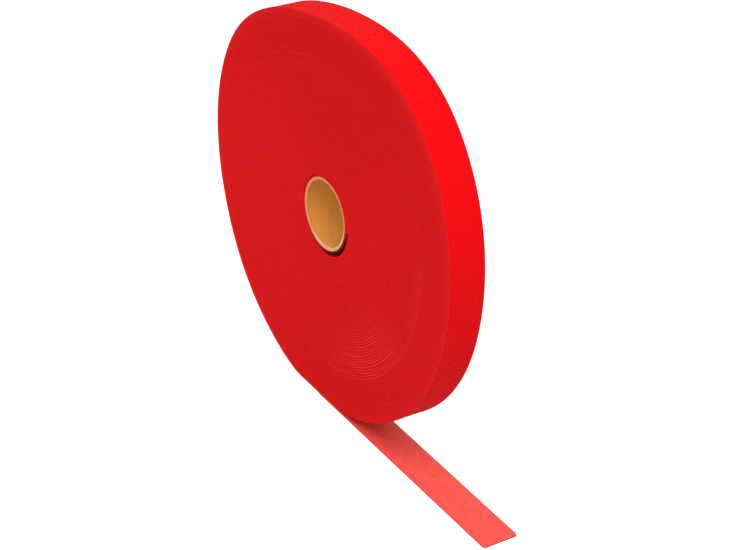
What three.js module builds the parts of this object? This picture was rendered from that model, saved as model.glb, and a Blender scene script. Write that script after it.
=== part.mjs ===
// A roll of back-to-back hook and loop tape on a cardboard core. It stands on its rim,
// a little flattened by its own weight, and its free end lies on the floor with the hooks up.
// Millimetres, +Z up. The roll's axis runs along Y, the face that is seen looks to -Y,
// and the free end leaves the bottom of the roll towards +X.
import * as THREE from 'three';
import { mergeVertices } from 'three/addons/utils/BufferGeometryUtils.js';

// Tape: a hook ribbon and a loop ribbon bonded back to back. Between two turns
// the hooks of one catch in the loops of the next.
const TAPE_WIDTH = 20;
const HOOK_RIBBON = 0.5;
const LOOP_RIBBON = 0.5;
const CATCH_DEPTH = 0.475;

// Roll: the outer turns are wound as one band, over a pack that stands for the turns below.
const ROLL_RADIUS = 110;
const WOUND_TURNS = 24;
const STEPS_PER_TURN = 35;

// Foot: the roll's own weight presses it flat on the floor, by this much straight under the axis.
const FOOT_PRESS = 2.6;

// Sag: the soft roll is flattened at the top and fuller at its two shoulders.
// Angles are measured at the axis from straight down, positive towards -X.
const SAG_DEPTH = 7.2;
const SAG_ANGLE = THREE.MathUtils.degToRad(171);
const SHOULDER_RISE = 3.6;
const SHOULDER_ANGLE = THREE.MathUtils.degToRad(57);
const SAG_SPREAD = THREE.MathUtils.degToRad(54);

// Core: a kraft tube, cut as long as the tape is wide.
const CORE_BORE_RADIUS = 17.5;
const CORE_WALL = 2.5;
const CORE_EDGE_BREAK = 0.4;
const CORE_STEPS = 48;

// Sticky strip that holds the first turn on the core.
const STRIP_THICKNESS = 0.4;
const STRIP_WIDTH = 16;
const STRIP_SPAN = THREE.MathUtils.degToRad(80);
const SEAT_GAP = 0.15;

// Slack beside the tape's cut inner end, where the second turn stands off and then steps down
// on to the core. The higher the power, the later and steeper it steps down.
const INNER_END_ANGLE = THREE.MathUtils.degToRad(-88);
const SLACK_SPAN = THREE.MathUtils.degToRad(100);
const SLACK_BULGE = 0.7;
const SLACK_POWER = 5;
const SLACK_STEPS = 18;

// Free end: sections as long as the winding's flats, which bend up to lie on the rim again,
// with a shorter one beside the foot and another at the square cut end.
const TAIL_FLATS = 5;
const TAIL_TIP_LENGTH = 13.2;
const TAIL_CORNER = 1.6;
const BEND_GAP = 0.3;

const TAPE_THICKNESS = HOOK_RIBBON + LOOP_RIBBON;
const TURN_PITCH = TAPE_THICKNESS + CATCH_DEPTH;
const HALF_STEP = Math.PI / STEPS_PER_TURN;
const FLAT_DISTANCE = ROLL_RADIUS * Math.cos(HALF_STEP);
const FLAT_HALF = ROLL_RADIUS * Math.sin(HALF_STEP);
const AXIS_HEIGHT = ROLL_RADIUS - FOOT_PRESS;
const CORE_RADIUS = CORE_BORE_RADIUS + CORE_WALL;
const EYE_RADIUS = CORE_RADIUS + STRIP_THICKNESS + 2 * SEAT_GAP;

// The foot ends where the floor cuts one of the winding's flats, below its first free corner.
// The tape bends up there by the flat's slope, and by one whole step at each corner after it.
const FIRST_CORNER = Math.ceil(Math.acos(AXIS_HEIGHT / ROLL_RADIUS) / (2 * HALF_STEP));
const CORNERS_PER_TURN = STEPS_PER_TURN - 2 * FIRST_CORNER + 3;
const LAST_CORNER = WOUND_TURNS * CORNERS_PER_TURN - 1;
const FOOT_TURN = (2 * FIRST_CORNER - 1) * HALF_STEP;
const FOOT_HALF = (FLAT_DISTANCE - AXIS_HEIGHT * Math.cos(FOOT_TURN)) / Math.sin(FOOT_TURN);
const FOOT_ANGLE = Math.atan2(FOOT_HALF, AXIS_HEIGHT);
const FOOT_RADIUS = Math.hypot(FOOT_HALF, AXIS_HEIGHT);

// The bends' axes lie on top of the tape, a little inside the corners of its underside.
const FOOT_SHIFT = TAPE_THICKNESS * Math.tan(FOOT_TURN / 2);
const BEND_SHIFT = TAPE_THICKNESS * Math.tan(HALF_STEP);
const FIRST_BEND = FOOT_HALF - FOOT_SHIFT;
const FOOT_TO_CORNER = FLAT_HALF + FOOT_RADIUS * Math.sin(FOOT_TURN - FOOT_ANGLE);
const FOOT_SECTION = FOOT_TO_CORNER - FOOT_SHIFT - BEND_SHIFT;
const SECTION_LENGTH = 2 * (FLAT_HALF - BEND_SHIFT);
const TAIL_LENGTHS = [FOOT_SECTION, ...Array(TAIL_FLATS).fill(SECTION_LENGTH), TAIL_TIP_LENGTH];

const tapeSide = { roughness: 0.9, metalness: 0 };
const loopRed = new THREE.MeshStandardMaterial({ color: 0xdc1018, ...tapeSide });
const edgeRed = new THREE.MeshStandardMaterial({ color: 0xc8161a, ...tapeSide });
const hookRed = new THREE.MeshStandardMaterial({ color: 0xee5048, roughness: 0.55, metalness: 0 });
const kraft = new THREE.MeshStandardMaterial({ color: 0xb98a55, roughness: 0.95, metalness: 0 });
const glueWhite = new THREE.MeshStandardMaterial({ color: 0xe6e0d0, roughness: 0.5, metalness: 0 });

const roll = new THREE.Group();
roll.name = 'hook_and_loop_tape_roll';

function addSolid(name, geometry, material) {
  const solid = new THREE.BufferGeometry();
  solid.setAttribute('position', geometry.getAttribute('position').clone());
  if (geometry.index) {
    solid.setIndex(geometry.index.clone());
  }
  const merged = mergeVertices(solid, 1e-4);
  merged.computeVertexNormals();
  const mesh = new THREE.Mesh(merged, material);
  mesh.name = name;
  roll.add(mesh);
}

// A point round the axis, as x and z: straight down at angle 0, towards -X as it grows.
function around(angle, radius) {
  return new THREE.Vector2(-radius * Math.sin(angle), AXIS_HEIGHT - radius * Math.cos(angle));
}

// Draws an outline in x and z out along Y, centred on the tape.
function acrossTape(outline, width, hole) {
  const shape = new THREE.Shape(outline);
  if (hole) {
    shape.holes.push(new THREE.Path(hole));
  }
  const geometry = new THREE.ExtrudeGeometry(shape, { depth: width, bevelEnabled: false });
  geometry.rotateX(Math.PI / 2);
  geometry.translate(0, width / 2, 0);
  return geometry;
}

// A smooth rise from 0 to 1 and back, over the sag's spread to each side of an angle.
function swell(angle, middle) {
  const turn = 2 * Math.PI;
  const off = THREE.MathUtils.euclideanModulo(angle - middle + Math.PI, turn) - Math.PI;
  const share = Math.min(Math.abs(off) / SAG_SPREAD, 1);
  return (1 + Math.cos(Math.PI * share)) / 2;
}

// How far the sagging roll stands outside a true circle.
function sag(angle) {
  const left = swell(angle, SAG_ANGLE - SHOULDER_ANGLE);
  const right = swell(angle, SAG_ANGLE + SHOULDER_ANGLE);
  return SHOULDER_RISE * (left + right) - SAG_DEPTH * swell(angle, SAG_ANGLE);
}

// The winding, counted in corners inwards. Each turn runs from the foot's -X end round to its
// +X end, where it is one pitch smaller, so that the foot lies level in every turn.
// An inset runs along a corner's bisector.
function windingPoint(count, inset) {
  const turn = Math.floor(count / CORNERS_PER_TURN);
  const corner = count - turn * CORNERS_PER_TURN;
  const nearEnd = CORNERS_PER_TURN - 1;
  const drop = TURN_PITCH * (turn + corner / nearEnd);
  let angle = 2 * (FIRST_CORNER + corner - 1) * HALF_STEP;
  let bisector = angle;
  let halfTurn = HALF_STEP;
  let radius = ROLL_RADIUS - drop + sag(angle);
  if (corner === 0 || corner === nearEnd) {
    const side = corner === 0 ? 1 : -1;
    angle = side * FOOT_ANGLE;
    bisector = side * FOOT_TURN / 2;
    halfTurn = FOOT_TURN / 2;
    radius = FOOT_RADIUS * (1 - drop / ROLL_RADIUS);
  }
  const inwards = new THREE.Vector2(Math.sin(bisector), Math.cos(bisector));
  return around(angle, radius).addScaledVector(inwards, inset / Math.cos(halfTurn));
}

function windingSide(inset) {
  const side = [new THREE.Vector2(FIRST_BEND - BEND_GAP / 2, inset)];
  for (let count = 0; count < LAST_CORNER; count += 1) {
    side.push(windingPoint(count, inset));
  }
  const before = side[side.length - 1];
  const after = windingPoint(LAST_CORNER, inset);
  side.push(after.clone().lerp(before, 2 * SEAT_GAP / after.distanceTo(before)));
  return side;
}

// Least distance from a turn's outside to the inside of the turn round it.
function leastGap(outside, inside) {
  let least = Infinity;
  const segment = new THREE.Line3();
  const point = new THREE.Vector3();
  const nearest = new THREE.Vector3();
  for (let i = CORNERS_PER_TURN; i < outside.length; i += 1) {
    point.set(outside[i].x, 0, outside[i].y);
    const across = i - CORNERS_PER_TURN;
    for (let j = Math.max(across - 1, 0); j <= across; j += 1) {
      segment.start.set(inside[j].x, 0, inside[j].y);
      segment.end.set(inside[j + 1].x, 0, inside[j + 1].y);
      segment.closestPointToPoint(point, true, nearest);
      least = Math.min(least, nearest.distanceTo(point));
    }
  }
  return least;
}

// Core tube, turned from its wall's section with both rims broken.
const coreEnd = TAPE_WIDTH / 2;
const coreSection = [
  new THREE.Vector2(CORE_RADIUS - CORE_EDGE_BREAK, -coreEnd),
  new THREE.Vector2(CORE_RADIUS, CORE_EDGE_BREAK - coreEnd),
  new THREE.Vector2(CORE_RADIUS, coreEnd - CORE_EDGE_BREAK),
  new THREE.Vector2(CORE_RADIUS - CORE_EDGE_BREAK, coreEnd),
  new THREE.Vector2(CORE_BORE_RADIUS + CORE_EDGE_BREAK, coreEnd),
  new THREE.Vector2(CORE_BORE_RADIUS, coreEnd - CORE_EDGE_BREAK),
  new THREE.Vector2(CORE_BORE_RADIUS, CORE_EDGE_BREAK - coreEnd),
  new THREE.Vector2(CORE_BORE_RADIUS + CORE_EDGE_BREAK, -coreEnd),
];
coreSection.push(coreSection[0].clone());
const coreTube = new THREE.LatheGeometry(coreSection, CORE_STEPS);
coreTube.translate(0, 0, AXIS_HEIGHT);
addSolid('core_tube', coreTube, kraft);

// Sticky strip, bent round the core under the first turn, up to the tape's cut end.
const stripInner = [];
const stripOuter = [];
const stripSteps = 12;
for (let i = 0; i <= stripSteps; i += 1) {
  const angle = INNER_END_ANGLE - STRIP_SPAN * i / stripSteps;
  stripInner.push(around(angle, CORE_RADIUS + SEAT_GAP));
  stripOuter.push(around(angle, CORE_RADIUS + SEAT_GAP + STRIP_THICKNESS));
}
addSolid('start_strip', acrossTape([...stripInner, ...stripOuter.reverse()], STRIP_WIDTH), glueWhite);

// Inner winding: its outside is the next turn in, with the step that the band's end meets,
// and its eye has the slack beside the tape's cut end.
const packOutside = [];
for (let count = LAST_CORNER; count <= LAST_CORNER + CORNERS_PER_TURN; count += 1) {
  packOutside.push(windingPoint(count, 0));
}
const eye = [];
for (let i = 0; i <= SLACK_STEPS; i += 1) {
  const share = i / SLACK_STEPS;
  const lift = TURN_PITCH * (1 - share ** SLACK_POWER) + SLACK_BULGE * Math.sin(Math.PI * share);
  eye.push(around(INNER_END_ANGLE + SLACK_SPAN * share, EYE_RADIUS + lift));
}
const tightSpan = 2 * Math.PI - SLACK_SPAN;
const tightSteps = Math.round(CORE_STEPS * tightSpan / (2 * Math.PI));
for (let i = 1; i <= tightSteps; i += 1) {
  eye.push(around(INNER_END_ANGLE + SLACK_SPAN + tightSpan * i / tightSteps, EYE_RADIUS));
}
addSolid('inner_winding', acrossTape(packOutside, TAPE_WIDTH, eye.reverse()), edgeRed);

// Outer winding: one unbroken band from the free end's first bend to the pack.
const bandOutside = windingSide(0);
const bandInside = windingSide(TAPE_THICKNESS);
console.log(`least gap between turns ${leastGap(bandOutside, bandInside).toFixed(3)} mm`);
addSolid('outer_winding', acrossTape([...bandOutside, ...bandInside.slice().reverse()], TAPE_WIDTH), loopRed);

// Free end: each section has its loop ribbon on the floor and its hook ribbon on top.
function ribbon(from, to, bottom, thickness, corner) {
  const half = TAPE_WIDTH / 2;
  const outline = new THREE.Shape();
  outline.moveTo(from, -half);
  outline.lineTo(to - corner, -half);
  if (corner > 0) {
    outline.absarc(to - corner, corner - half, corner, -Math.PI / 2, 0, false);
    outline.absarc(to - corner, half - corner, corner, 0, Math.PI / 2, false);
  } else {
    outline.lineTo(to, half);
  }
  outline.lineTo(from, half);
  outline.closePath();
  const geometry = new THREE.ExtrudeGeometry(outline, {
    depth: thickness,
    bevelEnabled: false,
    curveSegments: 6,
  });
  geometry.translate(0, 0, bottom);
  return geometry;
}

let bend = FIRST_BEND;
TAIL_LENGTHS.forEach((length, i) => {
  const tip = i === TAIL_LENGTHS.length - 1;
  const from = bend + BEND_GAP / 2;
  const to = bend + length - (tip ? 0 : BEND_GAP / 2);
  const corner = tip ? TAIL_CORNER : 0;
  addSolid(`tail_loop_${i + 1}`, ribbon(from, to, 0, LOOP_RIBBON, corner), loopRed);
  addSolid(`tail_hook_${i + 1}`, ribbon(from, to, LOOP_RIBBON, HOOK_RIBBON, corner), hookRed);
  bend += length;
});

export default roll;
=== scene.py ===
import math

import bmesh
import bpy
import numpy as np
from mathutils import Matrix, Vector


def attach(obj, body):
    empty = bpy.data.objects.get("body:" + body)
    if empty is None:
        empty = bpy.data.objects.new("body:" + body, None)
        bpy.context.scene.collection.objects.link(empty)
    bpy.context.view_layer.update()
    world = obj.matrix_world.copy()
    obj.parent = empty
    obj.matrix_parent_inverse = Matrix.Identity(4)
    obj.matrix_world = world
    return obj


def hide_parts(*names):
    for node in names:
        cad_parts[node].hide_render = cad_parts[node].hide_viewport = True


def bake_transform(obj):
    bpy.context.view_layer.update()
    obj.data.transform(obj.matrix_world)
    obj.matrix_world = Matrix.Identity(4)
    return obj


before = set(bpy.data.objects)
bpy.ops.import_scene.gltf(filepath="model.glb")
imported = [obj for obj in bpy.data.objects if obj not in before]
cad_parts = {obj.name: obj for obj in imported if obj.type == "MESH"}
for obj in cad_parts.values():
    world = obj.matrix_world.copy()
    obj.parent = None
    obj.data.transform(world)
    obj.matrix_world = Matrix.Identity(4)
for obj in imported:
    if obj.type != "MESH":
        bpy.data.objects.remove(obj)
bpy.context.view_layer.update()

# Core tube
# A kraft cardboard tube, wound from glued strips of paper and cut as long as the tape is wide.
# The last strip's seam runs slantwise along the bore. The cut ends show the plies, with red lint
# from the tape on their outer part. Their orange is a painted red reflection of the tape, left out
# below beside the gap, where the core's outer wall is painted dark red-brown as the gap's shade.
MM = 0.001
TURN = 2 * math.pi
TAPE_HALF_WIDTH = 10 * MM
AXIS_HEIGHT = 107.4 * MM
CORE_RADIUS = 20 * MM
CORE_BORE = 17.5 * MM
CORE_EDGE = 0.45 * MM
CORE_STEPS = 240
WALL_ROWS = 48
END_ROWS = 30
CORE_PLIES = 6
PLY_GROOVE = 0.08 * MM
PLY_EDGE = 0.4
PLY_TONE = 0.35
CUT_TONE = 0.9
LINT_LEVEL = 4.6
LINT_FADE = 11
FRAY_STEP = 0.012 * MM
FRAY_INSET = 0.06 * MM
SEAM_ANGLE = math.radians(62)
SEAM_SLANT = math.radians(40)
SEAM_DEPTH = 0.25 * MM
SEAM_HALF = 0.45 * MM
SEAM_TONE = 0.6
# Where the painted light changes below, beside the gap under the core.
GAP_PAINT_ANGLE = math.radians(155)
GAP_PAINT_FADE = 3
GAP_PAINT_LEVEL = 1.2
CLOSE = 0.01 * MM


def add_piece(name, points, faces, material, attributes=(), sharp=180):
    """Makes a smooth mesh with its faces out, and stores what its material reads at its points."""
    mesh = bpy.data.meshes.new(name)
    mesh.from_pydata(np.asarray(points).tolist(), [], faces)
    for label, values in attributes:
        values = np.asarray(values, np.float32)
        kind = "FLOAT_VECTOR" if values.ndim == 2 else "FLOAT"
        field = "vector" if values.ndim == 2 else "value"
        mesh.attributes.new(label, kind, "POINT").data.foreach_set(field, values.ravel())
    shell = bmesh.new()
    shell.from_mesh(mesh)
    bmesh.ops.recalc_face_normals(shell, faces=shell.faces)
    shell.to_mesh(mesh)
    shell.free()
    mesh.shade_smooth()
    mesh.set_sharp_from_angle(angle=math.radians(sharp))
    mesh.materials.append(material)
    piece = bpy.data.objects.new(name, mesh)
    bpy.context.scene.collection.objects.link(piece)
    return piece


def skin(steps, count, looped=False):
    """Quads between the successive sections of a swept piece; open sweeps get their two end caps."""
    i = np.arange(steps if looped else steps - 1)[:, None]
    j = np.arange(count)[None, :]
    after = (i + 1) % steps
    beside = (j + 1) % count
    quads = [i * count + j, i * count + beside, after * count + beside, after * count + j]
    faces = np.stack(quads, -1).reshape(-1, 4).tolist()
    if not looped:
        faces += [list(range(count)), list(range((steps - 1) * count, steps * count))]
    return faces


class Finish:
    """A procedural material: a shader, and short calls that add and join its nodes."""

    def __init__(self, name, **sockets):
        self.material = bpy.data.materials.new(name)
        self.material.use_nodes = True
        self.tree = self.material.node_tree
        self.shader = self.tree.nodes["Principled BSDF"]
        for socket, value in sockets.items():
            self.shader.inputs[socket.replace("_", " ")].default_value = value

    def add(self, kind, settings=(), **inputs):
        node = self.tree.nodes.new(kind)
        for setting, value in dict(settings).items():
            setattr(node, setting, value)
        for socket, value in inputs.items():
            numbered = socket[0] == "i" and socket[1:].isdigit()
            slot = node.inputs[int(socket[1:])] if numbered else node.inputs[socket]
            if isinstance(value, bpy.types.NodeSocket):
                self.tree.links.new(value, slot)
            else:
                slot.default_value = value
        return node

    def sums(self, operation, first, second=0.0):
        return self.add("ShaderNodeMath", {"operation": operation}, i0=first, i1=second).outputs[0]

    def stored(self, label, kind="Fac"):
        return self.add("ShaderNodeAttribute", {"attribute_name": label}).outputs[kind]

    def place(self, along=1.0, across=1.0, through=1.0):
        """Where a point lies at rest, along, across and through the piece, times a scale on each."""
        spot = self.stored("place", "Vector")
        scale = (along, across, through)
        return self.add("ShaderNodeVectorMath", {"operation": "MULTIPLY"}, i0=spot, i1=scale).outputs[0]

    def noise(self, spot, scale, detail=3.0, roughness=0.55):
        node = self.add("ShaderNodeTexNoise", Vector=spot, Scale=scale, Detail=detail, Roughness=roughness)
        return node.outputs["Fac"]

    def wave(self, direction, scale, distortion, detail):
        """Even bands along X or Y, for threads that run the other way."""
        node = self.add("ShaderNodeTexWave", {"bands_direction": direction}, Vector=self.place(),
                        Scale=scale, Distortion=distortion, Detail=detail)
        return node.outputs["Fac"]

    def ramp(self, value, *stops):
        """Runs a value through a row of (position, colour) stops."""
        node = self.add("ShaderNodeValToRGB", Fac=value)
        row = node.color_ramp.elements
        while len(row) < len(stops):
            row.new(0.5)
        for stop, (position, colour) in zip(row, stops):
            stop.position = position
            stop.color = colour
        return node.outputs["Color"]

    def mix(self, share, first, second):
        node = self.add("ShaderNodeMix", {"data_type": "RGBA"}, i0=share, i6=first, i7=second)
        return node.outputs[2]

    def tint(self, base, mask, strength, colour):
        """Lays a colour over a base where a mask says, by a strength."""
        return self.mix(self.sums("MULTIPLY", mask, strength), base, colour)

    def link(self, socket, value):
        self.tree.links.new(value, self.shader.inputs[socket])

    def bump(self, height, distance, strength=1.0):
        node = self.add("ShaderNodeBump", Height=height, Distance=distance, Strength=strength)
        self.link("Normal", node.outputs[0])


def tone(red, green, blue):
    """A colour as a shader takes it, from its 0 to 255 values on a screen."""
    shares = [v / 255 for v in (red, green, blue)]
    return (*(((v + 0.055) / 1.055) ** 2.4 if v > 0.04045 else v / 12.92 for v in shares), 1.0)


def off_angle(angle, middle):
    """How far an angle lies from another, either way round."""
    return (angle - middle + math.pi) % TURN - math.pi


kraft = Finish("kraft_board", Roughness=0.9, Specular_IOR_Level=0.2)
fibre = kraft.noise(kraft.place(1.0, 0.3, 1.0), 1500.0, 5.0, 0.65)
cloudy = kraft.noise(kraft.place(), 170.0, 3.0)
board = kraft.ramp(fibre, (0.28, tone(184, 120, 45)), (0.52, tone(196, 131, 52)),
                   (0.76, tone(205, 143, 64)))
board = kraft.tint(board, cloudy, 0.35, tone(172, 106, 34))
# The cut ends' orange is a painted red reflection of the tape; beside the gap below they stay pale kraft.
cut_end_and_reflection = kraft.mix(kraft.stored("gap_light_paint"), tone(224, 138, 92), tone(222, 184, 146))
board = kraft.mix(kraft.stored("cut"), board, cut_end_and_reflection)
board = kraft.mix(kraft.stored("ply"), board, tone(196, 100, 56))
# Red lint from the tape; beside the gap below, a dark red-brown painted as the gap's shade.
lint_and_gap_shade = kraft.mix(kraft.stored("gap_light_paint"), tone(192, 22, 22), tone(120, 5, 3))
kraft.link("Base Color", kraft.mix(kraft.stored("stain"), board, lint_and_gap_shade))
kraft.bump(kraft.sums("ADD", fibre, kraft.sums("MULTIPLY", cloudy, 0.6)), 0.12 * MM, 0.35)

rng = np.random.default_rng(20)
core_turn = np.linspace(0, TURN, CORE_STEPS, endpoint=False)
wall = np.linspace(-1, 1, WALL_ROWS) * (TAPE_HALF_WIDTH - CORE_EDGE)
across = np.linspace(0, 1, END_ROWS)
# Rows round the tube, over its ends and through the bore: radius, height, and ply, cut and lint marks.
rows = [(CORE_RADIUS, y, 0.0, 0.0, 1.0) for y in (wall[0], wall[-1])]
for end in (1, -1):
    for share in across[::end]:
        radius = CORE_RADIUS + (CORE_BORE - CORE_RADIUS) * share
        to_edge = min(share, 1 - share) * (CORE_RADIUS - CORE_BORE)
        drop = CORE_EDGE * max(0.0, 1 - to_edge / CORE_EDGE) ** 2
        groove = abs((share * CORE_PLIES) % 1.0 - 0.5) > PLY_EDGE
        height = end * (TAPE_HALF_WIDTH - drop - PLY_GROOVE * groove)
        linty = np.clip(LINT_LEVEL - share * LINT_FADE, 0, 1)
        rows.append((radius, height, PLY_TONE * groove, CUT_TONE, linty))
    if end == 1:
        rows += [(CORE_BORE, y, 0.0, 0.0, 0.0) for y in wall[::-1]]
rows = np.array(rows)
fray = np.cumsum(rng.normal(0, FRAY_STEP, (CORE_STEPS, len(rows))), 0)
fray -= np.linspace(0, 1, CORE_STEPS)[:, None] * fray[-1]
radius, height, ply, cut, stain = (np.repeat(column[None, :], CORE_STEPS, 0) for column in rows.T)
height = height + np.where(cut > 0, np.sign(height) * (fray - FRAY_INSET), 0)
in_bore = np.abs(radius - CORE_BORE) < CLOSE
seam_off = off_angle(core_turn[:, None], SEAM_ANGLE + height * math.tan(SEAM_SLANT) / CORE_BORE)
seam = np.exp(-((seam_off * CORE_BORE / SEAM_HALF) ** 2)) * in_bore
radius = radius + SEAM_DEPTH * seam
core_x = radius * np.sin(core_turn)[:, None]
core_z = AXIS_HEIGHT + radius * np.cos(core_turn)[:, None]
core_points = np.stack([core_x, height, core_z], -1).reshape(-1, 3)
# Painted light: 1 below beside the gap, where the cut ends lose their painted reflection and the outer
# wall gets painted shade.
gap_light_share = np.clip(GAP_PAINT_FADE * np.cos(core_turn - GAP_PAINT_ANGLE) - GAP_PAINT_LEVEL, 0, 1)
core_marks = [("place", core_points), ("ply", np.maximum(ply, SEAM_TONE * seam).ravel()),
              ("cut", cut.ravel()), ("stain", stain.ravel()),
              ("gap_light_paint", np.repeat(gap_light_share[:, None], len(rows), 1).ravel())]
core = add_piece("core", core_points, skin(CORE_STEPS, len(rows), True), kraft.material, core_marks)
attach(core, "roll")
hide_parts("core_tube")

# Start strip
# A strip of double-sided adhesive film, stuck along the core, that the tape's first turn is
# pressed on to. Only its edge can be seen, deep between the core and the winding.
film = Finish("adhesive_film", Roughness=0.4)
spot = film.add("ShaderNodeTexCoord").outputs["Object"]
film_tone = film.ramp(film.noise(spot, 900.0), (0.35, tone(214, 206, 186)), (0.7, tone(238, 233, 220)))
film.link("Base Color", film_tone)
film.bump(film.noise(spot, 2400.0), 0.1 * MM, 0.4)
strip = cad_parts["start_strip"]
strip.data.materials.clear()
strip.data.materials.append(film.material)

# Winding
# Hook ribbon and loop ribbon, bonded back to back into one tape and wound on the core with the
# loops outside, so that each turn's hooks catch in the turn below. The soft roll sags on top, is
# pressed flat at its foot, and shows the tape's edges on its faces, some loose or standing out.
ROLL_RADIUS = 109.75 * MM
EYE_RADIUS = 20.25 * MM
INNER_END = math.radians(-88)
SLACK_SPAN = math.radians(98)
SLACK_BULGE = 0.4 * MM
SLACK_POWER = 11
SLACK_TURNS = 14
SAG_DEPTH = 7.2 * MM
SAG_ANGLE = math.radians(171)
SHOULDER_RISE = 3.6 * MM
SHOULDER_ANGLE = math.radians(57)
SAG_SPREAD = math.radians(54)
WHOLE_TURNS = 60
END_ANGLE = WHOLE_TURNS * TURN + INNER_END
PITCH = (ROLL_RADIUS - EYE_RADIUS) / (END_ANGLE / TURN + 1)
FOOT_SOFTNESS = 1.0 * MM
STEPS_PER_TURN = 90


def swell(angle, middle, spread):
    """A smooth rise from 0 to 1 and back about an angle."""
    share = np.clip(np.abs(off_angle(angle, middle)) / spread, 0, 1)
    return (1 + np.cos(math.pi * share)) / 2


def sag(angle):
    """How far the roll is flattened on top, and fuller at the two shoulders beside that."""
    left = swell(angle, SAG_ANGLE - SHOULDER_ANGLE, SAG_SPREAD)
    right = swell(angle, SAG_ANGLE + SHOULDER_ANGLE, SAG_SPREAD)
    return SHOULDER_RISE * (left + right) - SAG_DEPTH * swell(angle, SAG_ANGLE, SAG_SPREAD)


def press(angle):
    """How far the floor presses the outermost turn in, with soft corners beside the flat."""
    level = AXIS_HEIGHT / np.maximum(np.cos(angle), 0.5)
    share = np.clip(0.5 + (ROLL_RADIUS - level) / (2 * FOOT_SOFTNESS), 0, 1)
    return share * (ROLL_RADIUS - level) + FOOT_SOFTNESS * share * (1 - share)


def wound(angle, depth):
    """Radius of the tape at an angle along it from the floor; depth 0 is its outside, 1 its inside."""
    spiral = angle + TURN * depth
    radius = ROLL_RADIUS - PITCH * spiral / TURN
    outness = np.clip((radius - EYE_RADIUS) / (ROLL_RADIUS - EYE_RADIUS), 0, 1)
    radius = radius + (sag(angle) - press(angle)) * outness
    turns_to_eye = (END_ANGLE + TURN - spiral) / TURN
    past_end = (angle - INNER_END) % TURN
    share = np.clip(past_end / SLACK_SPAN, 0, 1)
    slack = PITCH * (past_end / TURN - share ** SLACK_POWER) + SLACK_BULGE * np.sin(math.pi * share)
    return radius + slack * np.clip(1 - (turns_to_eye - 1) / SLACK_TURNS, 0, 1) ** 2


def on_roll(angle, radius, y):
    """Points about the roll's axis, at an angle from straight down towards -X and a radius."""
    return np.stack([-radius * np.sin(angle), y, AXIS_HEIGHT - radius * np.cos(angle)], -1)


rng = np.random.default_rng(61)
# Slow waves that put the edges out of level: rate, start and size.
WANDERS = [(rng.uniform(0.08, 1.3), rng.uniform(0, TURN), rng.uniform(3, 8) * 0.001 * MM)
           for _ in range(14)]
# Turns that stand out of the face: radius, angle towards -X from straight down, half span, height.
PROUD_TURNS = [
    (85.8 * MM, math.radians(-48), math.radians(62), 0.22 * MM),
    (84.3 * MM, math.radians(-32), math.radians(26), 0.24 * MM),
    (80.0 * MM, math.radians(-34), math.radians(22), 0.16 * MM),
    (74.0 * MM, math.radians(-38), math.radians(24), 0.12 * MM),
    (67.0 * MM, math.radians(-34), math.radians(20), 0.10 * MM),
    (88.0 * MM, math.radians(-80), math.radians(40), 0.08 * MM),
    (86.5 * MM, math.radians(156), math.radians(30), 0.12 * MM),
]
# How loose a turn is for each metre that it stands out.
PROUD_LOOSE = 0.55 / (0.26 * MM)
LOOSE_UNEVEN = 0.5
LOOSE_RANGE = (0.1, 2)
# Patches of the face where the turns lie looser: radius, angle, reach along the radius,
# half span and share.
LOOSE_PATCHES = [
    (72.0 * MM, math.radians(-39), 12 * MM, math.radians(19), 0.65),
    (80.0 * MM, math.radians(-33), 5 * MM, math.radians(19), 0.5),
    (84.0 * MM, math.radians(-80), 5 * MM, math.radians(30), 0.25),
    (80.0 * MM, math.radians(176), 5 * MM, math.radians(24), 0.15),
]


def proud(angle):
    """How far the tape stands out of the face, along its length."""
    out = 0.0
    for radius, middle, span, height in PROUD_TURNS:
        nearest = round(((ROLL_RADIUS - radius) / PITCH * TURN - middle) / TURN) * TURN + middle
        out = out + height * np.exp(-(((angle - nearest) / span) ** 2))
    return out


def wander(angle):
    """How far the tape's edges lie to one side, along its length."""
    return sum(size * np.sin(rate * angle + start) for rate, start, size in WANDERS) - proud(angle)


CRINKLES = [(rng.uniform(5, 24), rng.uniform(0, TURN)) for _ in range(10)]


def crinkle(angle):
    """An uneven wave along the tape, mostly between -1 and 1."""
    return sum(np.sin(rate * angle + start) for rate, start in CRINKLES) / 3


def looseness(angle):
    """How much deeper the grooves between the turns are, from 0 to 1."""
    radius = ROLL_RADIUS - PITCH * angle / TURN
    loose = PROUD_LOOSE * proud(angle)
    for middle, way, reach, span, share in LOOSE_PATCHES:
        off = ((radius - middle) / reach) ** 2 + (off_angle(angle, way) / span) ** 2
        loose = loose + share * np.exp(-off)
    return loose * np.clip(1 + LOOSE_UNEVEN * crinkle(angle), *LOOSE_RANGE)


def tape_length(angle):
    """How much tape lies between the floor and an angle along the winding."""
    return ROLL_RADIUS * angle - PITCH * angle ** 2 / (2 * TURN)


BLACK = (0, 0, 0, 1)
WHITE = (1, 1, 1, 1)
tape_edge = Finish("tape_edges", Roughness=0.95, Specular_IOR_Level=0.03)
layer = tape_edge.stored("layer")
edge = tape_edge.ramp(layer, (0.0, tone(211, 17, 21)), (0.3, tone(215, 19, 23)), (0.6, tone(215, 21, 24)),
                      (0.85, tone(219, 23, 25)), (1.0, tone(211, 17, 21)))
hook_side = tape_edge.ramp(layer, (0.6, BLACK), (0.75, WHITE), (0.88, WHITE), (0.97, BLACK))
edge = tape_edge.tint(edge, hook_side, tape_edge.stored("loose"), tone(240, 78, 72))
threads = tape_edge.noise(tape_edge.place(1.0, 0.4, 0.4), 1300.0, 3.0, 0.6)
weft = tape_edge.wave("X", scale=560.0, distortion=2.5, detail=2.0)
strays = tape_edge.noise(tape_edge.place(0.5, 1.0, 1.0), 2600.0, 2.0, 0.6)
strays = tape_edge.ramp(strays, (0.52, BLACK), (0.72, WHITE))
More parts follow.
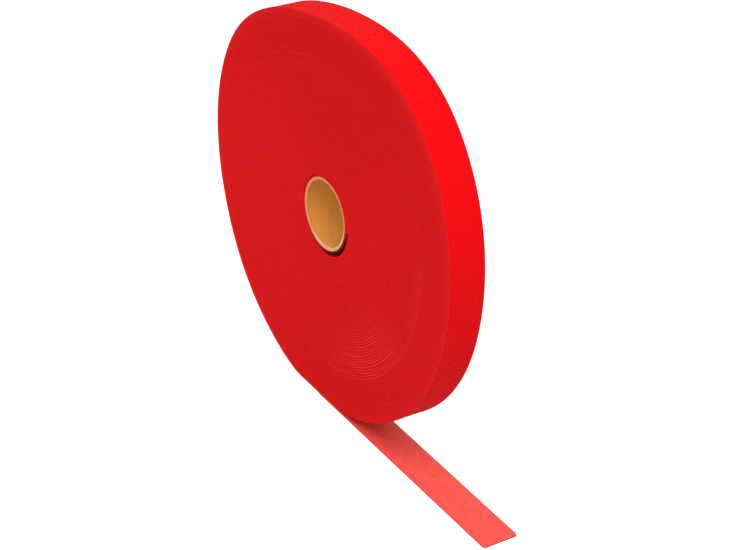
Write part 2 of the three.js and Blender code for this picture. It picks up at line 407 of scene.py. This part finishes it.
turns_tone = tape_edge.noise(tape_edge.place(1.0, 0.0, 0.0), 9.0, 2.0)
edge = tape_edge.tint(edge, threads, 0.3, tone(188, 8, 12))
edge = tape_edge.tint(edge, weft, 0.22, tone(182, 8, 12))
edge = tape_edge.tint(edge, strays, 0.3, tone(230, 60, 56))
edge = tape_edge.tint(edge, turns_tone, 0.25, tone(214, 24, 26))
felted = tape_edge.noise(tape_edge.place(0.6, 1.0, 1.0), 420.0, 3.0, 0.6)
felted = tape_edge.ramp(felted, (0.35, BLACK), (0.65, WHITE))
edge = tape_edge.tint(edge, felted, 0.3, tone(220, 30, 32))
# A painted highlight, a paler red, along the roll's corner.
tape_edge.link("Base Color", tape_edge.mix(tape_edge.stored("corner"), edge, tone(240, 44, 46)))
tape_edge.bump(tape_edge.sums("ADD", threads, tape_edge.sums("MULTIPLY", weft, 0.6)), 0.3 * MM, 0.8)

# One edge of the tape: share of the pitch, and how far in millimetres the edge draws in there.
EDGE_SHAPE = [(0.02, 0.012), (0.09, 0.006), (0.20, 0.0), (0.46, 0.002),
              (0.54, 0.002), (0.78, 0.0), (0.90, 0.006), (0.98, 0.012)]
GROOVE_GROWTH = 9.0
LOOSE_RIPPLE = 0.05 * MM
RIPPLE_RATE = 1.7
# The whole section: one edge, the middle of the hook side, the other edge, the middle of the loops.
edge_depth, edge_draw = np.array(EDGE_SHAPE).T
section_depth = np.concatenate([edge_depth, edge_depth[-1:], edge_depth[::-1], edge_depth[:1]])
section_draw = np.concatenate([edge_draw, [0.0], edge_draw[::-1], [0.0]]) * MM
section_side = np.repeat([-1.0, 0.0, 1.0, 0.0], [len(EDGE_SHAPE), 1, len(EDGE_SHAPE), 1])
CUP = 0.2 * MM
# The outermost turns draw in a little, so that the roll's corner is soft, and carry a painted highlight
# there.
CORNER_DRAW = 0.4 * MM
CORNER_POWER = 3
CORNER_TURNS = 1.8
CORNER_HIGHLIGHT = 0.45


def cupped(side):
    """How far the tape dips between its edges, so that no light passes between two turns."""
    return CUP * (1 - side ** 2)


def shoulder(angle, side, depth):
    """How far the outermost turns draw in at the roll's corner."""
    turns = angle / TURN + depth[None, :]
    return CORNER_DRAW * np.exp(-turns / CORNER_TURNS) * np.abs(side)[None, :] ** CORNER_POWER


def wind(name, first, last, steps, depth, side, draw, lift=None):
    """Sweeps the tape's section along the winding: side is -1 to 1 across, draw is the edge's inset."""
    angle = np.linspace(first, last, steps)[:, None]
    radius = wound(angle, depth[None, :]) - cupped(side[None, :])
    radius = radius + LOOSE_RIPPLE * looseness(angle) * crinkle(RIPPLE_RATE * angle)
    if lift is not None:
        radius = radius + lift
    inset = draw[None, :] * (1 + GROOVE_GROWTH * looseness(angle)) + shoulder(angle, side, depth)
    y = side[None, :] * (TAPE_HALF_WIDTH - inset) + wander(angle)
    points = on_roll(angle, radius, y).reshape(-1, 3)
    length = np.broadcast_to(tape_length(angle), radius.shape)
    through = np.broadcast_to(depth * PITCH, radius.shape)
    place = np.stack([length, y, through], -1).reshape(-1, 3)
    layers = np.broadcast_to(depth, radius.shape).ravel()
    loose = np.broadcast_to(np.clip(looseness(angle), 0, 1), radius.shape).ravel()
    # Painted highlight on the outermost turns, fading inwards.
    corner = (CORNER_HIGHLIGHT * np.exp(-(angle / TURN + depth[None, :]) / CORNER_TURNS)).ravel()
    marks = [("place", place), ("layer", layers), ("loose", loose), ("corner", corner)]
    return add_piece(name, points, skin(steps, len(depth)), tape_edge.material, marks, sharp=60)


under_steps = round((END_ANGLE / TURN - 1) * STEPS_PER_TURN) + 1
under_turns = wind("wound_tape", TURN, END_ANGLE, under_steps, section_depth, section_side, section_draw)
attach(under_turns, "roll")
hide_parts("inner_winding")

# Outermost turn
# The same tape, with the whole of its loop side open to view: a nap of fine nylon loops,
# brushed so that they lie every way, which gives the rim its velvety red.
RIM_STEPS = 1200
RIM_ROWS = 46
NAP_HEIGHT = 0.055 * MM
PILE_DEPTH = 0.05


def soft_noise(seed, steps, columns, passes):
    """Random heights, smoothed over their neighbours, with a spread of 1."""
    heights = np.random.default_rng(seed).normal(0, 1, (steps, columns))
    for _ in range(passes):
        heights = heights + np.roll(heights, 1, 0) + np.roll(heights, 1, 1)
    return heights / heights.std()


loop_nap = Finish("loop_nap", Roughness=1.0, Specular_IOR_Level=0.02, Sheen_Weight=0.16,
                  Sheen_Roughness=0.5, Sheen_Tint=(1.0, 0.25, 0.22, 1.0))
fuzz = loop_nap.noise(loop_nap.place(), 1100.0, 4.0, 0.65)
brushed = loop_nap.noise(loop_nap.place(0.35, 1.0, 1.0), 140.0, 3.0)
pile = loop_nap.ramp(fuzz, (0.25, tone(196, 2, 9)), (0.5, tone(208, 4, 12)), (0.78, tone(217, 8, 16)))
pile = loop_nap.tint(pile, brushed, 0.25, tone(194, 3, 10))
loop_nap.link("Base Color", pile)
loop_nap.bump(loop_nap.sums("ADD", fuzz, loop_nap.sums("MULTIPLY", brushed, 0.5)), 0.4 * MM, 0.5)

rim_side = np.linspace(1, -1, RIM_ROWS)[1:-1]
rim_depth = np.concatenate([section_depth[:-1], np.zeros(RIM_ROWS - 2)])
rim_sides = np.concatenate([section_side[:-1], rim_side])
rim_draw = np.concatenate([section_draw[:-1], np.full(RIM_ROWS - 2, section_draw[0])])
on_pile = np.arange(len(rim_depth)) >= len(section_depth) - 1
nap = soft_noise(7, RIM_STEPS, len(rim_depth), 1) + soft_noise(8, RIM_STEPS, len(rim_depth), 5)
rim_turn = wind("outer_turn", 0.0, TURN, RIM_STEPS, rim_depth, rim_sides, rim_draw,
                np.where(on_pile[None, :], NAP_HEIGHT * nap, 0.0))
rim_turn.data.materials.append(loop_nap.material)
layer_values = np.zeros(len(rim_turn.data.vertices), np.float32)
rim_turn.data.attributes["layer"].data.foreach_get("value", layer_values)
is_pile = [int(max(layer_values[v] for v in face.vertices) < PILE_DEPTH)
           for face in rim_turn.data.polygons]
rim_turn.data.polygons.foreach_set("material_index", is_pile)
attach(rim_turn, "roll")
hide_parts("outer_winding")

# The longest loops of the nap stand out of it one by one, turned every way.
LOOP_COUNT = 6200
LOOP_STEPS = 6
LOOP_SIDES = 3
LOOP_FILAMENT = 0.05 * MM
LOOP_FIELD = 9.4 * MM
LOOP_SPANS = (0.5, 1.0)
LOOP_RISES = (0.09, 0.2)
FLAT_HALF = math.acos(AXIS_HEIGHT / ROLL_RADIUS)
LOOPS_START = 1.1 * FLAT_HALF

fibre_nylon = Finish("loop_fibre", Roughness=0.7, Specular_IOR_Level=0.2)
fibre_tone = fibre_nylon.noise(fibre_nylon.place(), 800.0, 2.0)
fibre_red = fibre_nylon.ramp(fibre_tone, (0.3, tone(202, 4, 11)), (0.7, tone(222, 16, 22)))
fibre_nylon.link("Base Color", fibre_red)

rng = np.random.default_rng(14)
loop_angle = rng.uniform(LOOPS_START, TURN - LOOPS_START, LOOP_COUNT)[:, None, None]
loop_y = rng.uniform(-LOOP_FIELD, LOOP_FIELD, LOOP_COUNT)[:, None, None]
heading = rng.uniform(0, math.pi, LOOP_COUNT)[:, None, None]
span = rng.uniform(*LOOP_SPANS, LOOP_COUNT)[:, None, None] * MM
rise = rng.uniform(*LOOP_RISES, LOOP_COUNT)[:, None, None] * MM
share = np.linspace(0, 1, LOOP_STEPS)[None, :, None]
around = np.linspace(0, TURN, LOOP_SIDES, endpoint=False)[None, None, :]
along = span * (share - 0.5)
beside = LOOP_FILAMENT * np.cos(around)
angle = loop_angle + (along * np.cos(heading) - beside * np.sin(heading)) / ROLL_RADIUS
y = loop_y + along * np.sin(heading) + beside * np.cos(heading)
radius = wound(angle, 0.0) - cupped(y / TAPE_HALF_WIDTH) + rise * np.sin(math.pi * share)
radius = radius - LOOP_FILAMENT + LOOP_FILAMENT * np.sin(around)
points = on_roll(angle, radius, y).reshape(-1, 3)
place = np.stack([tape_length(angle), y, radius - ROLL_RADIUS], -1).reshape(-1, 3)
loop_size = LOOP_STEPS * LOOP_SIDES
one_loop = skin(LOOP_STEPS, LOOP_SIDES)
faces = [[v + k * loop_size for v in face] for k in range(LOOP_COUNT) for face in one_loop]
nap_loops = add_piece("nap_loops", points, faces, fibre_nylon.material, [("place", place)])
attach(nap_loops, "roll")

# Free end
# The tape's last stretch, unwound on to the floor with its hooks up: a woven ribbon with plain
# selvedges, the loop pile under it, and a square cut end with its corners rubbed round.
SECTIONS = 7
FIRST_BEND = 22.52 * MM
SECOND_BEND = 38.89 * MM
SECTION_LENGTH = 19.54 * MM
TAIL_LENGTH = 149.79 * MM
TIP_CORNER = 1.6 * MM
GROUND_HEIGHT = 0.62 * MM
SELVEDGE = 1.5 * MM
SELVEDGE_RISE = 0.07 * MM
EDGE_ROUND = 0.2 * MM
TAIL_STEP = 0.8 * MM
LEAST_STEPS = 12
TIP_STEPS = 10
TIP_ROOM = 0.2 * MM
FIELD_ROWS = 33
EDGE_ROWS = 9
UNDER_SHARE = 0.4
SHADED_SIDE_SHARE = 0.9
PILE_SHARE = 0.2

ribbon = Finish("hook_ribbon", Roughness=0.6, Specular_IOR_Level=0.3)
weave_across = ribbon.wave("X", scale=420.0, distortion=0.6, detail=1.0)
weave_along = ribbon.wave("Y", scale=520.0, distortion=0.6, detail=1.0)
weave = ribbon.sums("MULTIPLY", weave_across, weave_along)
mottle = ribbon.noise(ribbon.place(), 240.0, 3.0)
ground = ribbon.ramp(mottle, (0.3, tone(218, 63, 52)), (0.55, tone(225, 72, 61)), (0.8, tone(230, 81, 70)))
ground = ribbon.tint(ground, weave, 0.4, tone(208, 50, 41))
ground = ribbon.mix(ribbon.stored("selvedge"), ground, tone(230, 66, 56))
ground = ribbon.mix(ribbon.stored("pile"), ground, tone(186, 14, 18))
# The tape's sides and cut end are painted dark red as shade.
ribbon.link("Base Color", ribbon.mix(ribbon.stored("side"), ground, tone(132, 24, 20)))
ribbon.bump(weave, 0.16 * MM, 0.9)

# Each length runs from the middle of one bending section to the middle of the next.
bends = [FIRST_BEND] + [SECOND_BEND + k * SECTION_LENGTH for k in range(SECTIONS - 1)]
mids = [0.0] + [(one + other) / 2 for one, other in zip(bends, bends[1:])] + [TAIL_LENGTH]


def bend_tail(piece):
    """Bakes a length of the tail's placing into its points."""
    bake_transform(piece)


def half_width(x):
    """Half the tape's width, drawn in round the corners of its cut end."""
    past = np.clip(x - (TAIL_LENGTH - TIP_CORNER), 0, TIP_CORNER)
    return TAPE_HALF_WIDTH - TIP_CORNER + np.sqrt(np.maximum(TIP_CORNER ** 2 - past ** 2, 0))


def tape_section():
    """The free tape's section: y as a share of the half width, z, what each point is part of, and where
    its sides get painted shade.
    """
    field = np.linspace(-1, 1, FIELD_ROWS)
    inner = 1 - EDGE_ROUND / TAPE_HALF_WIDTH
    woven = 1 - SELVEDGE / TAPE_HALF_WIDTH
    top = [(y * inner, GROUND_HEIGHT + SELVEDGE_RISE * (abs(y * inner) > woven)) for y in field]
    turns = np.linspace(0, math.pi, EDGE_ROWS)[1:-1]
    middle = GROUND_HEIGHT / 2
    right = [(inner + math.sin(t) * (1 - inner), middle + math.cos(t) * middle) for t in turns]
    under = [(y * inner, 0.0) for y in field[::-1]]
    left = [(-y, z) for y, z in right[::-1]]
    points = np.array(top + right + under + left)
    is_under = points[:, 1] < UNDER_SHARE * GROUND_HEIGHT
    is_shaded_side = (np.abs(points[:, 0]) > inner) & (points[:, 1] < SHADED_SIDE_SHARE * GROUND_HEIGHT)
    is_woven = (np.abs(points[:, 0]) > woven) & ~is_under & ~is_shaded_side
    return points[:, 0], points[:, 1], is_woven, is_under, is_shaded_side


share_y, tape_z, is_woven, is_under, is_shaded_side = tape_section()
for k in range(1, SECTIONS + 1):
    start, end = mids[k - 1], mids[k]
    count = max(int((end - start) / TAIL_STEP), LEAST_STEPS)
    x = np.linspace(start, end, count)
    if k == SECTIONS:
        corner = TAIL_LENGTH - TIP_CORNER * (1 - np.sin(np.linspace(0, math.pi / 2, TIP_STEPS)))
        x = np.concatenate([x[x < corner[0] - TIP_ROOM], corner])
    shape = (len(x), len(share_y))
    y = share_y[None, :] * half_width(x)[:, None]
    z = np.broadcast_to(tape_z, shape)
    points = np.stack([np.broadcast_to(x[:, None], shape), y, z], -1).reshape(-1, 3)
    # Painted shade on the sides and on the cut end.
    shaded_edge = np.maximum(is_shaded_side[None, :], x[:, None] == TAIL_LENGTH)
    marks = [("place", points), ("selvedge", np.broadcast_to(is_woven * 1.0, shape).ravel()),
             ("pile", np.broadcast_to(is_under * 1.0, shape).ravel()),
             ("side", shaded_edge.astype(float).ravel())]
    tape = add_piece(f"tail_tape_{k}", points, skin(*shape), ribbon.material, marks, sharp=50)
    tape.data.materials.append(loop_nap.material)
    low = points[:, 2] < PILE_SHARE * GROUND_HEIGHT
    is_pile = [int(all(low[face.vertices])) for face in tape.data.polygons]
    tape.data.polygons.foreach_set("material_index", is_pile)
    bend_tail(tape)
    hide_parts(f"tail_loop_{k}")

# Hooks
# Stiff nylon filaments woven into the ribbon in staggered rows, each cut open on one side so that
# it stands as a small hook. They are paler than the ribbon, and give the strip its coral look.
HOOK_ALONG = 1.25 * MM
HOOK_ACROSS = 1.2 * MM
HOOK_FIELD = 8.2 * MM
HOOK_RADIUS = 0.085 * MM
HOOK_SIDES = 5
HOOK_TIP = 0.75
HOOKS_START = 0.8 * MM
HOOKS_END = TAIL_LENGTH - 0.9 * MM
HOOK_SCATTER = 0.07 * MM
HOOK_LEAN = 0.35
HOOK_SIZES = (0.85, 1.08)
HOOK_PATH = np.array([(0.0, -0.08), (0.0, 0.13), (0.06, 0.22),
                      (0.17, 0.26), (0.27, 0.22), (0.31, 0.13)]) * MM

filament = Finish("hook_filament", Roughness=0.4, Specular_IOR_Level=0.45)
filament_tone = filament.noise(filament.place(), 300.0, 2.0)
filament_red = filament.ramp(filament_tone, (0.3, tone(230, 79, 68)), (0.7, tone(242, 108, 96)))
filament.link("Base Color", filament_red)
filament.bump(filament.noise(filament.place(), 5000.0), 0.02 * MM, 0.4)

rng = np.random.default_rng(33)
way = np.gradient(HOOK_PATH, axis=0)
way /= np.linalg.norm(way, axis=1)[:, None]
sides = np.linspace(0, TURN, HOOK_SIDES, endpoint=False)
taper = np.linspace(1.0, HOOK_TIP, len(HOOK_PATH))[:, None] * HOOK_RADIUS
hook_x = HOOK_PATH[:, None, 0] - way[:, None, 1] * np.cos(sides)[None, :] * taper
hook_z = HOOK_PATH[:, None, 1] + way[:, None, 0] * np.cos(sides)[None, :] * taper
hook_y = np.sin(sides)[None, :] * taper
hook_faces = np.array(skin(len(HOOK_PATH), HOOK_SIDES)[:-2])
hook_size = len(HOOK_PATH) * HOOK_SIDES
hook_caps = [np.arange(HOOK_SIDES), np.arange(hook_size - HOOK_SIDES, hook_size)]

spots = []
for row, along in enumerate(np.arange(HOOKS_START, HOOKS_END, HOOK_ALONG)):
    for across in np.arange(-HOOK_FIELD, HOOK_FIELD, HOOK_ACROSS):
        shift = HOOK_ACROSS / 2 * (row % 2)
        facing = 1 if row % 4 < 2 else -1
        spots.append((along, across + shift, facing))
spots = np.array(spots)
spots[:, :2] += rng.normal(0, HOOK_SCATTER, (len(spots), 2))
lean = rng.normal(0, HOOK_LEAN, len(spots))
tall = rng.uniform(*HOOK_SIZES, len(spots))
for k in range(1, SECTIONS + 1):
    here = (spots[:, 0] >= mids[k - 1]) & (spots[:, 0] < mids[k])
    points, faces = [], []
    for (along, across, facing), tilt, size in zip(spots[here], lean[here], tall[here]):
        out = facing * hook_x.ravel()
        x = along + out * math.cos(tilt) - hook_y.ravel() * math.sin(tilt)
        y = across + out * math.sin(tilt) + hook_y.ravel() * math.cos(tilt)
        first = len(points) * hook_size
        points.append(np.stack([x, y, GROUND_HEIGHT + hook_z.ravel() * size], -1))
        faces += (hook_faces + first).tolist() + [(cap + first).tolist() for cap in hook_caps]
    points = np.concatenate(points)
    hooks = add_piece(f"tail_hooks_{k}", points, faces, filament.material, [("place", points)], sharp=80)
    bend_tail(hooks)
    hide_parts(f"tail_hook_{k}")

# Floor, light and camera
# A plain floor that looks white to the eye, broad soft lights over and round the roll, a small
# one low in front of its face, and the eye where the picture was taken.
FLOOR_DROP = 0.3 * MM
FLOOR_REACH = 6.0
FLOOR_TONE = (0.55, 0.55, 0.55, 1.0)
FLOOR_GLOW = 0.66
WORLD_LIGHT = 0.55
floor_paper = Finish("floor_paper", Roughness=1.0, Specular_IOR_Level=0.0,
                     Base_Color=FLOOR_TONE, Emission_Color=WHITE)


def seen_rays(tree):
    """1 for what the eye, a reflection or a clear piece sees, and 0 for the light on the object."""
    path = tree.nodes.new("ShaderNodeLightPath")
    total = path.outputs["Is Camera Ray"]
    for ray in ("Is Glossy Ray", "Is Transmission Ray"):
        both = tree.nodes.new("ShaderNodeMath")
        both.operation = "ADD"
        both.use_clamp = True
        tree.links.new(total, both.inputs[0])
        tree.links.new(path.outputs[ray], both.inputs[1])
        total = both.outputs[0]
    return total


def graded(tree, value, scale, base, socket):
    """Links a value times a scale, plus a base, to a socket."""
    node = tree.nodes.new("ShaderNodeMath")
    node.operation = "MULTIPLY_ADD"
    tree.links.new(value, node.inputs[0])
    node.inputs[1].default_value = scale
    node.inputs[2].default_value = base
    tree.links.new(node.outputs[0], socket)


floor_glow = floor_paper.shader.inputs["Emission Strength"]
graded(floor_paper.tree, seen_rays(floor_paper.tree), FLOOR_GLOW, 0.0, floor_glow)
floor_mesh = bpy.data.meshes.new("floor")
floor_corners = [(x * FLOOR_REACH, y * FLOOR_REACH, -FLOOR_DROP)
                 for x, y in ((-1, -1), (1, -1), (1, 1), (-1, 1))]
floor_mesh.from_pydata(floor_corners, [], [(0, 1, 2, 3)])
floor_mesh.materials.append(floor_paper.material)
floor = bpy.data.objects.new("floor", floor_mesh)
bpy.context.scene.collection.objects.link(floor)

world = bpy.data.worlds.new("studio")
world.use_nodes = True
sky = world.node_tree.nodes["Background"]
sky.inputs["Color"].default_value = WHITE
sky_rays = seen_rays(world.node_tree)
graded(world.node_tree, sky_rays, 1.0 - WORLD_LIGHT, WORLD_LIGHT, sky.inputs["Strength"])
bpy.context.scene.world = world


def soft_box(name, place, aim, size, power):
    """Hangs a round soft light, in metres and watts, that faces a point."""
    lamp = bpy.data.lights.new(name, "AREA")
    lamp.shape = "DISK"
    lamp.size = size
    lamp.energy = power
    box = bpy.data.objects.new(name, lamp)
    box.location = place
    box.rotation_euler = (Vector(place) - Vector(aim)).to_track_quat("Z", "Y").to_euler()
    bpy.context.scene.collection.objects.link(box)


ROLL_MIDDLE = (0.0, 0.0, 0.1)
ROLL_LOW_LEFT = (-0.06, 0.0, 0.04)
soft_box("overhead", (0.48, -0.29, 1.2), ROLL_MIDDLE, 1.0, 14.6)
soft_box("fill", (0.9, -0.65, 0.5), ROLL_MIDDLE, 1.0, 3.4)
soft_box("behind", (0.8, 0.7, 0.4), ROLL_MIDDLE, 0.8, 1.5)
soft_box("aside", (-0.1, -0.22, 0.06), ROLL_LOW_LEFT, 0.1, 0.1)
soft_box("back", (-0.5, 1.1, 0.7), ROLL_MIDDLE, 1.0, 4.0)

EYE_AZIMUTH = math.radians(56.305)
EYE_ELEVATION = math.radians(30.308)
EYE_TILT = math.radians(2.575)
EYE_DISTANCE = 972.49 * MM
EYE_ASIDE = 12.381 * MM
EYE_DOWN = -34.983 * MM
EYE_AIM = Vector((0, 0, 110 * MM))
SENSOR_WIDTH = 36.0
LENS_LENGTH = 95.55
LENS_NEAR = 0.01
back = Vector((math.sin(EYE_AZIMUTH) * math.cos(EYE_ELEVATION),
               -math.cos(EYE_AZIMUTH) * math.cos(EYE_ELEVATION),
               math.sin(EYE_ELEVATION)))
level = Vector((math.cos(EYE_AZIMUTH), math.sin(EYE_AZIMUTH), 0))
upright = back.cross(level)
right = level * math.cos(EYE_TILT) + upright * math.sin(EYE_TILT)
up = upright * math.cos(EYE_TILT) - level * math.sin(EYE_TILT)
eye = EYE_AIM + back * EYE_DISTANCE + right * EYE_ASIDE + up * EYE_DOWN
lens = bpy.data.cameras.new("camera")
lens.sensor_width = SENSOR_WIDTH
lens.lens = LENS_LENGTH
lens.clip_start = LENS_NEAR
camera = bpy.data.objects.new("camera", lens)
camera.matrix_world = Matrix([(right.x, up.x, back.x, eye.x), (right.y, up.y, back.y, eye.y),
                              (right.z, up.z, back.z, eye.z), (0, 0, 0, 1)])
bpy.context.scene.collection.objects.link(camera)
bpy.context.scene.camera = camera
bpy.context.scene.view_settings.view_transform = "Standard"
